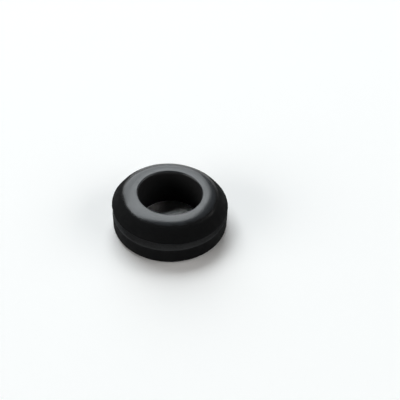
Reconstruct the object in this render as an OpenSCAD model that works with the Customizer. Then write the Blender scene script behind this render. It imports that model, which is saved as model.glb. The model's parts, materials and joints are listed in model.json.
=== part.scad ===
// Rubber grommet: one moulded ring that lines a round hole in a sheet panel.
//
// The ring lies on its back flange, with its axis along Z and the middle of
// its underside at the origin. From the bottom up it has a straight-sided
// back flange, a neck that the panel's edge closes on, and a bevelled lead
// flange that is squeezed through the panel's hole. A straight wire hole runs
// through all three. The whole ring is one half section turned about Z.

/* [Wire hole] */
// Diameter of the hole that the wire or cable passes through
wire_hole_d = 10; // [4:0.1:11.4]
// Radius that takes the sharp edge off both mouths of the wire hole
mouth_edge_r = 0.3; // [0.05:0.05:0.6]

/* [Panel groove] */
// Diameter at the foot of the groove, which is the panel hole that it fits
groove_d = 14; // [12:0.1:16]
// Width of the groove, which is the panel thickness that it takes
groove_w = 1.6; // [0.8:0.1:5]
// Radius in the two inner corners of the groove
groove_root_r = 0.2; // [0.05:0.05:0.4]

/* [Lead flange] */
// Outside diameter of the bevelled flange
lead_flange_d = 18.4; // [17:0.1:30]
// Thickness of the bevelled flange, from the groove to its face
lead_flange_t = 2.3; // [1:0.1:6]
// How far in from the rim the bevel would meet the face if there were no crown
bevel_w = 1.65; // [0.8:0.05:3]
// Height of the upright lip between the groove and the bevel
lip_h = 0.1; // [0.1:0.05:0.8]
// Radius that rounds the lip's edge next to the groove
lip_edge_r = 0.06; // [0.02:0.01:0.1]
// Radius of the crown that blends the bevel into the face
crown_r = 3.1; // [0.4:0.1:4.5]

/* [Back flange] */
// Outside diameter of the straight-sided flange
back_flange_d = 18.4; // [17:0.1:30]
// Thickness of the straight-sided flange, from the underside to the groove
back_flange_t = 2.9; // [1.2:0.1:6]
// Radius that rounds its outer edge next to the groove
brow_r = 0.2; // [0.05:0.05:0.6]
// Radius that rounds the outer edge of its underside
heel_r = 0.7; // [0.1:0.1:1.1]

/* [Hidden] */
$fn = 180;

wire_r = wire_hole_d / 2;
neck_r = groove_d / 2;
lead_r = lead_flange_d / 2;
back_r = back_flange_d / 2;

// Heights above the underside
groove_floor_z = back_flange_t;
groove_mid_z = groove_floor_z + groove_w / 2;
groove_roof_z = groove_floor_z + groove_w;
face_z = groove_roof_z + lead_flange_t;

// The bevel climbs from the top of the lip and ends at this radius
bevel_top_r = lead_r - bevel_w;
bevel_angle = atan2(lead_flange_t - lip_h, bevel_w);

// The crown touches the bevel and the face. It is no larger than the level
// ring of the face, outside the mouth's rounded edge, has room for
face_room = bevel_top_r - wire_r - mouth_edge_r;
crown = min(crown_r, face_room / tan(bevel_angle / 2));
crown_centre = [bevel_top_r - crown * tan(bevel_angle / 2), face_z - crown];

// A length that reaches past the whole section
far = 4 * (lead_r + back_r + face_z);

// Directions in the section, which is drawn with the radius across
IN = [-1, 0];
OUT = [1, 0];
UP = [0, 1];
DOWN = [0, -1];

// What a rounded edge of radius r leaves out of a square corner. The two
// directions run from the corner along its sides
module corner_waste(corner, along_a, along_b, r) {
    inner = (along_a + along_b) * r;
    translate(corner) difference() {
        polygon([[0, 0], along_a * r, inner, along_b * r]);
        translate(inner) circle(r);
    }
}

// All that lies under the face, the crown and the bevel, carried on past the
// flange. Seen from the middle of the crown's arc, the bevel is the face's
// own level line, turned down by the bevel's angle
module under_face_and_bevel() {
    translate(crown_centre) {
        circle(crown);
        polygon([[0, crown], [0, -far], [-far, -far], [-far, crown]]);
        rotate(-bevel_angle) polygon([[0, crown], [0, -far], [far, -far], [far, crown]]);
    }
}

// The ring before the groove and the wire hole are cut: the two flanges,
// meeting at the middle of the groove
module blank_section() {
    square([back_r, groove_mid_z]);
    intersection() {
        translate([0, groove_mid_z]) square([lead_r, face_z]);
        under_face_and_bevel();
    }
}

module groove_section() {
    difference() {
        translate([neck_r, groove_floor_z]) square([far, groove_w]);
        corner_waste([neck_r, groove_floor_z], OUT, UP, groove_root_r);
        corner_waste([neck_r, groove_roof_z], OUT, DOWN, groove_root_r);
    }
}

module wire_hole_section() {
    translate([-wire_r, -face_z]) square([2 * wire_r, 3 * face_z]);
    corner_waste([wire_r, 0], OUT, UP, mouth_edge_r);
    corner_waste([wire_r, face_z], OUT, DOWN, mouth_edge_r);
}

module half_section() {
    difference() {
        blank_section();
        groove_section();
        wire_hole_section();
        corner_waste([lead_r, groove_roof_z], IN, UP, lip_edge_r);
        corner_waste([back_r, groove_floor_z], IN, DOWN, brow_r);
        corner_waste([back_r, 0], IN, UP, heel_r);
    }
}

module grommet() {
    color([0.06, 0.06, 0.065]) rotate_extrude() half_section();
}

grommet();
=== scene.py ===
import json
import math

import bmesh
import bpy
from mathutils import Matrix, Vector, noise


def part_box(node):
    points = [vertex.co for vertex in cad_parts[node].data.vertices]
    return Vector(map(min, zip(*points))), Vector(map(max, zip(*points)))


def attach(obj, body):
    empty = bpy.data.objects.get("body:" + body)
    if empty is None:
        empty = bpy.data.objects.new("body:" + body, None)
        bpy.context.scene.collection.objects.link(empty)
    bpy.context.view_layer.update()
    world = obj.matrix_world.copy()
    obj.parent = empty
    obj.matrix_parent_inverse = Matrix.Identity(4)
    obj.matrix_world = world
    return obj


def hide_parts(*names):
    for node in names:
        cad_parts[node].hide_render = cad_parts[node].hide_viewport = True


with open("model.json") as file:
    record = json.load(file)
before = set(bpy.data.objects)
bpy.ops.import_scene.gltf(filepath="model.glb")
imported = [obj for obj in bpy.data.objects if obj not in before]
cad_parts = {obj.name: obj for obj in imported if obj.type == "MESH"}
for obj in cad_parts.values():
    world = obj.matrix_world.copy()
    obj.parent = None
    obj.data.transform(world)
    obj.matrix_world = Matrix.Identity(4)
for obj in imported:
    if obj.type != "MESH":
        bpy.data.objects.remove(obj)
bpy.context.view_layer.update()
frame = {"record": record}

MM = 0.001

# ---- Sizes of the grommet, in metres -----------------------------------------------------------

low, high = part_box("grommet")
OUTER_R = (high.x - low.x) / 2
UNDERSIDE_Z = low.z
FACE_Z = high.z

mounts = {mount["name"]: mount for mount in frame["record"]["mounts"]}
HOLE_R = mounts["wire_hole"]["dims"]["r_mm"] * MM
MOUTH_EDGE_R = 0.3 * MM

NECK_R = 7.0 * MM
GROOVE_W = 1.6 * MM
GROOVE_MID_Z = mounts["panel_groove"]["pos_m"][2]
GROOVE_FLOOR_Z = GROOVE_MID_Z - GROOVE_W / 2
GROOVE_ROOF_Z = GROOVE_MID_Z + GROOVE_W / 2
GROOVE_ROOT_R = 0.2 * MM

HEEL_R = 0.7 * MM
BROW_R = 0.2 * MM
LIP_H = 0.1 * MM
LIP_EDGE_R = 0.06 * MM
LIP_TOP_R = 0.1 * MM
BEVEL_RISE_PER_RUN = 4 / 3
CROWN_R = 3.1 * MM

# The unevenness of moulded rubber, and how far the lead flange comes down on one side
SWELL_DEPTH = 0.04 * MM
SWELL_SIZE = 3.0 * MM
SWELL_FADE_H = 1.0 * MM
NICK_DEPTH = 0.05 * MM
NICK_SIZE = 0.45 * MM
LEAN_DROP = 0.6 * MM

# How finely the surface is divided
SECTIONS_AROUND = 360
LONGEST_STEP = 0.22 * MM
TURN_STEP = math.radians(8)
FEWEST_ARC_PIECES = 4


def main():
    rubber = rubber_material()
    grommet = build_grommet(rubber)
    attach(grommet, "root")
    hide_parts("grommet")
    build_floor()
    add_lights()
    add_camera()


# ---- The moulded shape --------------------------------------------------------------------------


def outline_corners():
    """The half section's corners: distance from the axis, height and corner radius."""
    lip_top_z = GROOVE_ROOF_Z + LIP_H
    bevel_top = OUTER_R - (FACE_Z - lip_top_z) / BEVEL_RISE_PER_RUN
    return [
        (HOLE_R, UNDERSIDE_Z, MOUTH_EDGE_R),
        (OUTER_R, UNDERSIDE_Z, HEEL_R),
        (OUTER_R, GROOVE_FLOOR_Z, BROW_R),
        (NECK_R, GROOVE_FLOOR_Z, GROOVE_ROOT_R),
        (NECK_R, GROOVE_ROOF_Z, GROOVE_ROOT_R),
        (OUTER_R, GROOVE_ROOF_Z, LIP_EDGE_R),
        (OUTER_R, lip_top_z, LIP_TOP_R),
        (bevel_top, FACE_Z, CROWN_R),
        (HOLE_R, FACE_Z, MOUTH_EDGE_R),
    ]


def rounded_corner(before, corner, after, radius):
    """Points along the arc that rounds a corner, with its ends on the two straight sides."""
    to_before = (before - corner).normalized()
    to_after = (after - corner).normalized()
    half_angle = to_before.angle(to_after) / 2
    bisector = (to_before + to_after).normalized()
    centre = corner + bisector * radius / math.sin(half_angle)
    reach = radius / math.tan(half_angle)
    first = corner + to_before * reach - centre
    sweep = first.angle_signed(corner + to_after * reach - centre)
    count = max(FEWEST_ARC_PIECES, math.ceil(abs(sweep) / TURN_STEP))
    return [centre + Matrix.Rotation(-sweep * i / count, 2) @ first for i in range(count + 1)]


def outline_points():
    """The closed half section as points, close together on the arcs and along the sides."""
    corners = outline_corners()
    spots = [Vector(corner[:2]) for corner in corners]
    arcs = []
    for i, (_, _, radius) in enumerate(corners):
        after = spots[(i + 1) % len(spots)]
        arcs.append(rounded_corner(spots[i - 1], spots[i], after, radius))
    points = []
    for i, arc in enumerate(arcs):
        points += arc
        start = arc[-1]
        end = arcs[(i + 1) % len(arcs)][0]
        pieces = max(1, math.ceil((end - start).length / LONGEST_STEP))
        points += [start.lerp(end, k / pieces) for k in range(1, pieces)]
    return points


def section_normals(points):
    """The outward direction at each point of the half section."""
    normals = []
    for i in range(len(points)):
        along = points[(i + 1) % len(points)] - points[i - 1]
        normals.append(Vector((along.y, -along.x)).normalized())
    return normals


def unevenness(spot):
    """How far the surface lies under its true form: a slow swell, and nicks along the lip."""
    above_rest = min(1, (spot.z - UNDERSIDE_Z) / SWELL_FADE_H)
    swell = 0.5 + 0.5 * noise.noise(spot / SWELL_SIZE)
    depth = SWELL_DEPTH * above_rest * swell
    lip_mid_z = GROOVE_ROOF_Z + LIP_H / 2
    if abs(spot.z - lip_mid_z) < LIP_H and math.hypot(spot.x, spot.y) > OUTER_R - LIP_H:
        depth += NICK_DEPTH * max(0, noise.noise(spot / NICK_SIZE))
    return depth


def smooth_step(value):
    """A smooth climb from 0 to 1 while the value goes from 0 to 1."""
    value = min(max(value, 0.0), 1.0)
    return value * value * (3 - 2 * value)


def lean(spot):
    """The soft lead flange leans towards +X, where the groove is narrower."""
    taken_up = smooth_step((spot.z - GROOVE_FLOOR_Z) / GROOVE_W)
    across = (spot.x + OUTER_R) / (2 * OUTER_R)
    return spot - Vector((0, 0, LEAN_DROP * across * taken_up))


def build_grommet(material):
    """The half section carried round the axis, a little uneven, with the lead flange leaning."""
    section = outline_points()
    normals = section_normals(section)
    mesh = bmesh.new()
    rings = []
    for k in range(SECTIONS_AROUND):
        angle = 2 * math.pi * k / SECTIONS_AROUND
        out = Vector((math.cos(angle), math.sin(angle), 0))
        ring = []
        for point, normal in zip(section, normals):
            spot = out * point.x + Vector((0, 0, point.y))
            outward = out * normal.x + Vector((0, 0, normal.y))
            ring.append(mesh.verts.new(lean(spot - outward * unevenness(spot))))
        rings.append(ring)
    count = len(section)
    for k in range(SECTIONS_AROUND):
        here = rings[k]
        there = rings[(k + 1) % SECTIONS_AROUND]
        for i in range(count):
            j = (i + 1) % count
            mesh.faces.new((here[i], here[j], there[j], there[i])).smooth = True
    bmesh.ops.recalc_face_normals(mesh, faces=mesh.faces)
    return finish_mesh(mesh, "grommet_rubber", material)


def finish_mesh(mesh, name, material):
    data = bpy.data.meshes.new(name)
    mesh.to_mesh(data)
    mesh.free()
    data.materials.append(material)
    piece = bpy.data.objects.new(name, data)
    bpy.context.scene.collection.objects.link(piece)
    return piece


# ---- Materials ----------------------------------------------------------------------------------

GRAIN_DEPTH = 0.008 * MM
BLOTCH_SIZE = 1.1 * MM
BLOTCH_DETAIL = 4.0
SPECK_SIZE = 0.25 * MM
SPECK_DETAIL = 3.0

# The values between which the blotches and the specks pass from one look to the other
BLOTCH_LOW = 0.3
BLOTCH_HIGH = 0.7
SPECK_LOW = 0.25
SPECK_HIGH = 0.75

# The satin skin, and a paler colour painted on as sheen, start on the crown and cover the face
SATIN_START_Z = FACE_Z - 0.60 * MM
SATIN_FULL_Z = FACE_Z - 0.28 * MM
SHEEN_PAINT_START_Z = FACE_Z - 0.36 * MM
SHEEN_PAINT_FULL_Z = FACE_Z - 0.12 * MM
EDGE_WANDER = 0.04 * MM
SATIN_LEAST = 0.72
SATIN_MOST = 0.86
ROUGH_LEAST = 0.74
ROUGH_MOST = 0.92

# Painted light: pale grey lies on the groove's floor, where light reaches the ledge, and thins out
# up the neck
LEDGE_LIGHT_START_Z = GROOVE_FLOOR_Z - 0.14 * MM
LEDGE_LIGHT_THINS_Z = GROOVE_FLOOR_Z + 0.2 * MM
LEDGE_LIGHT_ENDS_Z = GROOVE_ROOF_Z - 0.2 * MM
LEDGE_LIGHT_INNER_R = NECK_R - 0.8 * MM
LEDGE_LIGHT_FULL_R = NECK_R - 0.6 * MM
LEDGE_LIGHT_LEAST = 0.75

# The wire hole's own colour fades out across its rounded mouth
BORE_FULL_R = HOLE_R + 0.1 * MM
BORE_END_R = HOLE_R + MOUTH_EDGE_R

FLANK_DARK = (0.0028, 0.0030, 0.0032)
FLANK_LIGHT = (0.0056, 0.0059, 0.0062)
BORE_BLACK = (0.014, 0.014, 0.0145)
# Painted sheen: the face's paler, bluish colour stands in for its satin highlight
PAINTED_SHEEN_GREY = (0.022, 0.024, 0.027)
# Painted light: the pale grey of the groove's ledge
PAINTED_LEDGE_GREY = (0.076, 0.080, 0.083)
PAPER_SEEN = (1.0, 0.995, 0.99)
PAPER_BOUNCE = (0.6, 0.6, 0.6)


def new_material(name):
    material = bpy.data.materials.new(name)
    material.use_nodes = True
    nodes = material.node_tree.nodes
    return material, nodes, material.node_tree.links, nodes["Principled BSDF"]


def add_node(nodes, kind, **settings):
    node = nodes.new("ShaderNode" + kind)
    for name, value in settings.items():
        setattr(node, name, value)
    return node


def noise_value(nodes, links, where, size, detail):
    """Noise from 0 to 1 whose blotches are about size across."""
    field = add_node(nodes, "TexNoise")
    field.inputs["Scale"].default_value = 1 / size
    field.inputs["Detail"].default_value = detail
    links.new(where, field.inputs["Vector"])
    return field.outputs["Fac"]


def soft_step(nodes, links, value, start, end, first=0.0, last=1.0):
    """A smooth step of a value, from first at start to last at end."""
    step = add_node(nodes, "MapRange", interpolation_type="SMOOTHSTEP")
    links.new(value, step.inputs["Value"])
    step.inputs["From Min"].default_value = start
    step.inputs["From Max"].default_value = end
    step.inputs["To Min"].default_value = first
    step.inputs["To Max"].default_value = last
    return step.outputs["Result"]


def calculate(nodes, links, operation, first, second):
    """Two node values put together."""
    result = add_node(nodes, "Math", operation=operation)
    links.new(first, result.inputs[0])
    links.new(second, result.inputs[1])
    return result.outputs[0]


def blend_colours(nodes, links, amount, first, second):
    """One colour passing into another as amount goes from 0 to 1."""
    mix = add_node(nodes, "Mix", data_type="RGBA")
    links.new(amount, mix.inputs["Factor"])
    # The node has number and vector sockets too: 6, 7 and 2 are its colours
    for socket, colour in ((mix.inputs[6], first), (mix.inputs[7], second)):
        if isinstance(colour, tuple):
            socket.default_value = (*colour, 1)
        else:
            links.new(colour, socket)
    return mix.outputs[2]


def ring_position(nodes, links, where):
    """The distance from the grommet's axis and the height of the point that is shaded."""
    split = add_node(nodes, "SeparateXYZ")
    links.new(where, split.inputs[0])
    flat = add_node(nodes, "VectorMath", operation="MULTIPLY")
    links.new(where, flat.inputs[0])
    flat.inputs[1].default_value = (1, 1, 0)
    length = add_node(nodes, "VectorMath", operation="LENGTH")
    links.new(flat.outputs[0], length.inputs[0])
    return length.outputs["Value"], split.outputs["Z"]


def blotchy(nodes, links, blotches, first, last):
    """A value that drifts between first and last with the blotches."""
    return soft_step(nodes, links, blotches, BLOTCH_LOW, BLOTCH_HIGH, first, last)


def flange_drop(nodes, links, where):
    """How far the leaning lead flange has come down, as a node value."""
    split = add_node(nodes, "SeparateXYZ")
    links.new(where, split.inputs[0])
    across = add_node(nodes, "MapRange")
    links.new(split.outputs["X"], across.inputs["Value"])
    across.inputs["From Min"].default_value = -OUTER_R
    across.inputs["From Max"].default_value = OUTER_R
    across.inputs["To Max"].default_value = LEAN_DROP
    return across.outputs["Result"]


def painted_ledge_light(nodes, links, radius, height, specks):
    """How much pale grey is painted on the groove's ledge as light, from 0 to 1."""
    above = soft_step(nodes, links, height, LEDGE_LIGHT_START_Z, GROOVE_FLOOR_Z)
    below = soft_step(nodes, links, height, LEDGE_LIGHT_THINS_Z, LEDGE_LIGHT_ENDS_Z, 1.0, 0.0)
    outside = soft_step(nodes, links, radius, LEDGE_LIGHT_INNER_R, LEDGE_LIGHT_FULL_R)
    speckled = soft_step(nodes, links, specks, SPECK_LOW, SPECK_HIGH, LEDGE_LIGHT_LEAST, 1.0)
    level = calculate(nodes, links, "MULTIPLY", above, below)
    ledge = calculate(nodes, links, "MULTIPLY", level, outside)
    return calculate(nodes, links, "MULTIPLY", ledge, speckled)


def rubber_colour(nodes, links, radius, edge_height, ledge_light, blotches):
    """Blotchy near-black flanks, then the bore, a painted sheen on the face and painted light on
    the groove's ledge laid over them.
    """
    bore = soft_step(nodes, links, radius, BORE_FULL_R, BORE_END_R, 1.0, 0.0)
    face = soft_step(nodes, links, edge_height, SHEEN_PAINT_START_Z, SHEEN_PAINT_FULL_Z)
    colour = blend_colours(nodes, links, blotches, FLANK_DARK, FLANK_LIGHT)
    colour = blend_colours(nodes, links, bore, colour, BORE_BLACK)
    # Painted sheen: the face is coloured paler and bluish, as if lit
    colour = blend_colours(nodes, links, face, colour, PAINTED_SHEEN_GREY)
    # Painted light: pale grey laid over the groove's ledge
    return blend_colours(nodes, links, ledge_light, colour, PAINTED_LEDGE_GREY)


def rubber_material():
    """Black moulded rubber: dull flanks, a satin skin on the face with painted sheen, painted light
    as grey in the groove.
    """
    material, nodes, links, shader = new_material("black_rubber")
    shader.inputs["Specular IOR Level"].default_value = 0.08
    shader.inputs["Coat Roughness"].default_value = 0.22
    shader.inputs["Coat IOR"].default_value = 1.5
    where = add_node(nodes, "TexCoord").outputs["Object"]
    radius, height = ring_position(nodes, links, where)
    blotches = noise_value(nodes, links, where, BLOTCH_SIZE, BLOTCH_DETAIL)
    specks = noise_value(nodes, links, where, SPECK_SIZE, SPECK_DETAIL)

    # The face's edges follow the height that a point had before the lean, give or take a little
    wander = blotchy(nodes, links, blotches, -EDGE_WANDER, EDGE_WANDER)
    edge_height = calculate(nodes, links, "ADD", height, wander)
    edge_height = calculate(nodes, links, "ADD", edge_height, flange_drop(nodes, links, where))

    face = soft_step(nodes, links, edge_height, SATIN_START_Z, SATIN_FULL_Z)
    patchy = blotchy(nodes, links, blotches, SATIN_LEAST, SATIN_MOST)
    links.new(calculate(nodes, links, "MULTIPLY", face, patchy), shader.inputs["Coat Weight"])
    rough = blotchy(nodes, links, blotches, ROUGH_LEAST, ROUGH_MOST)
    links.new(rough, shader.inputs["Roughness"])
    # Painted light: the groove's ledge is coloured pale grey, as if lit
    ledge_light = painted_ledge_light(nodes, links, radius, height, specks)
    colour = rubber_colour(nodes, links, radius, edge_height, ledge_light, blotches)
    links.new(colour, shader.inputs["Base Color"])
    add_bump(nodes, links, shader, ((specks, GRAIN_DEPTH), (blotches, GRAIN_DEPTH)))
    return material


def add_bump(nodes, links, shader, layers):
    """Relief on the shader's normal, one layer over the other, each with its full height."""
    normal = None
    for value, relief in layers:
        bump = add_node(nodes, "Bump")
        bump.inputs["Strength"].default_value = 1.0
        bump.inputs["Distance"].default_value = relief
        links.new(value, bump.inputs["Height"])
        if normal:
            links.new(normal, bump.inputs["Normal"])
        normal = bump.outputs["Normal"]
    links.new(normal, shader.inputs["Normal"])
    links.new(normal, shader.inputs["Coat Normal"])


def floor_material():
    """White paper that the camera and shiny surfaces see in full. It throws less light back."""
    material, nodes, links, shader = new_material("white_paper")
    shader.inputs["Roughness"].default_value = 0.9
    shader.inputs["Specular IOR Level"].default_value = 0.1
    path = add_node(nodes, "LightPath")
    seen = add_node(nodes, "Math", operation="ADD", use_clamp=True)
    shown = add_node(nodes, "Math", operation="ADD", use_clamp=True)
    links.new(path.outputs["Is Camera Ray"], seen.inputs[0])
    links.new(path.outputs["Is Glossy Ray"], seen.inputs[1])
    links.new(seen.outputs[0], shown.inputs[0])
    links.new(path.outputs["Is Transmission Ray"], shown.inputs[1])
    colour = blend_colours(nodes, links, shown.outputs[0], PAPER_BOUNCE, PAPER_SEEN)
    links.new(colour, shader.inputs["Base Color"])
    return material


# ---- Studio -------------------------------------------------------------------------------------

FLOOR_SIZE = 1.0
FLOOR_SQUARES = 40
SOFTBOX_DISTANCE = 2.5
COOL_LIGHT = (0.93, 0.98, 1.0)
PLAIN_LIGHT = (1.0, 0.985, 0.96)

# The air's glow at the horizon, and the height on a unit sphere at which it has faded to black
AIR_GLOW = 0.95
GLOW_TOP_BEHIND = 0.33
GLOW_TOP_AHEAD = 0.48
AHEAD_AND_LEFT = (-0.45, -0.89, 0)
WHOLLY_BEHIND = -0.3
WHOLLY_AHEAD = 0.6


def build_floor():
    mesh = bmesh.new()
    bmesh.ops.create_grid(
        mesh, x_segments=FLOOR_SQUARES, y_segments=FLOOR_SQUARES, size=FLOOR_SIZE / 2
    )
    bmesh.ops.translate(mesh, verts=mesh.verts, vec=(0, 0, UNDERSIDE_Z))
    return finish_mesh(mesh, "studio_floor", floor_material())


def add_softbox(name, azimuth, elevation, width, height, watts, colour):
    """A lamp that looks at the grommet. Azimuth 0 is behind it, and positive is to its left."""
    turn = math.radians(azimuth)
    lift = math.radians(elevation)
    level = math.cos(lift)
    away = Vector((-math.sin(turn) * level, math.cos(turn) * level, math.sin(lift)))
    light = bpy.data.lights.new(name, "AREA")
    light.shape = "RECTANGLE"
    light.size = width
    light.size_y = height
    light.energy = watts
    light.color = colour
    lamp = bpy.data.objects.new(name, light)
    lamp.location = away * SOFTBOX_DISTANCE
    lamp.rotation_mode = "QUATERNION"
    lamp.rotation_quaternion = away.to_track_quat("Z", "Y")
    bpy.context.scene.collection.objects.link(lamp)


def add_world():
    """Air that is dark overhead and pale near the floor, most of all in front and to the left."""
    world = bpy.data.worlds.new("studio_air")
    bpy.context.scene.world = world
    world.use_nodes = True
    nodes = world.node_tree.nodes
    links = world.node_tree.links
    where = add_node(nodes, "TexCoord").outputs["Generated"]
    split = add_node(nodes, "SeparateXYZ")
    links.new(where, split.inputs[0])
    forward = add_node(nodes, "VectorMath", operation="DOT_PRODUCT")
    links.new(where, forward.inputs[0])
    forward.inputs[1].default_value = AHEAD_AND_LEFT
    behind = soft_step(nodes, links, split.outputs["Z"], 0.0, GLOW_TOP_BEHIND, AIR_GLOW, 0.0)
    ahead = soft_step(nodes, links, split.outputs["Z"], 0.0, GLOW_TOP_AHEAD, AIR_GLOW, 0.0)
    side = soft_step(nodes, links, forward.outputs["Value"], WHOLLY_BEHIND, WHOLLY_AHEAD)
    mix = add_node(nodes, "Mix", data_type="FLOAT")
    links.new(side, mix.inputs["Factor"])
    links.new(behind, mix.inputs["A"])
    links.new(ahead, mix.inputs["B"])
    links.new(mix.outputs["Result"], nodes["Background"].inputs["Color"])


def add_lights():
    add_world()
    add_softbox("high_softbox", azimuth=25, elevation=56, width=2.2, height=1.16,
                watts=43.0, colour=COOL_LIGHT)
    add_softbox("low_softbox", azimuth=14, elevation=28, width=2.2, height=1.34,
                watts=27.0, colour=COOL_LIGHT)
    add_softbox("left_softbox", azimuth=115, elevation=20, width=2.4, height=1.0,
                watts=30.0, colour=PLAIN_LIGHT)
    add_softbox("right_softbox", azimuth=-98, elevation=30, width=2.8, height=1.2,
                watts=23.0, colour=PLAIN_LIGHT)


# ---- Camera -------------------------------------------------------------------------------------

# The two angles are in degrees, and the distances in metres
VIEW_PITCH = 42.1
VIEW_ROLL = -2.5
VIEW_DISTANCE = 95.6 * MM
VIEW_LEFT = 4.73 * MM
VIEW_DROP = 0.80 * MM
LENS_MM = 54
SENSOR_MM = 36
NEAREST_SEEN = 0.005
FARTHEST_SEEN = 10


def add_camera():
    """The lens looks down at the grommet, which sits left of the middle and a little under it."""
    pitch = math.radians(VIEW_PITCH)
    roll = math.radians(VIEW_ROLL)
    ahead = Vector((0, math.cos(pitch), -math.sin(pitch)))
    level = Vector((1, 0, 0))
    above = level.cross(ahead)
    right = math.cos(roll) * level - math.sin(roll) * above
    up = math.sin(roll) * level + math.cos(roll) * above
    target = Vector((0, 0, GROOVE_MID_Z))
    eye = target + right * VIEW_LEFT + up * VIEW_DROP - ahead * VIEW_DISTANCE
    lens = bpy.data.cameras.new("camera")
    lens.lens = LENS_MM
    lens.sensor_width = SENSOR_MM
    lens.clip_start = NEAREST_SEEN
    lens.clip_end = FARTHEST_SEEN
    camera = bpy.data.objects.new("camera", lens)
    turned = Matrix((right, up, -ahead)).transposed().to_4x4()
    camera.matrix_world = Matrix.Translation(eye) @ turned
    bpy.context.scene.collection.objects.link(camera)
    bpy.context.scene.camera = camera
    bpy.context.scene.view_settings.view_transform = "Standard"


main()
